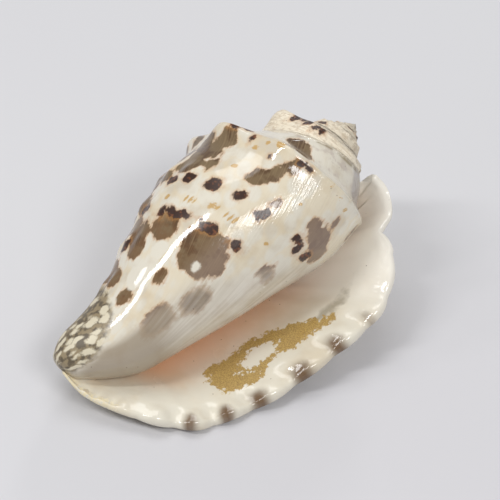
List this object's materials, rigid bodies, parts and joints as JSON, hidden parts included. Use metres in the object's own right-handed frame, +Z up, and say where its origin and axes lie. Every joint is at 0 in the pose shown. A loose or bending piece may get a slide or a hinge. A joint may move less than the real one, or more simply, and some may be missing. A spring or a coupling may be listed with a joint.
{
  "type": "strombus shell",
  "caption": "Conch shell with a knobbed spire, a dark-spotted back and a flared, scalloped lip, lying with its opening up.",
  "frame": {"origin": "centre of the bounding box's bottom face, on the surface that the shell lies on", "axes": "+Z up, out of the opening; +X toward the apex, along the shell's longest side; +Y away from the flared lip"},
  "size_m": [0.0716, 0.0472, 0.0394],
  "materials": {
    "shell": "natural shell: satin back with dark spots, polished cream lip and orange throat"
  },
  "bodies": {
    "root": {"shell": "shell"}
  },
  "joints": []
}
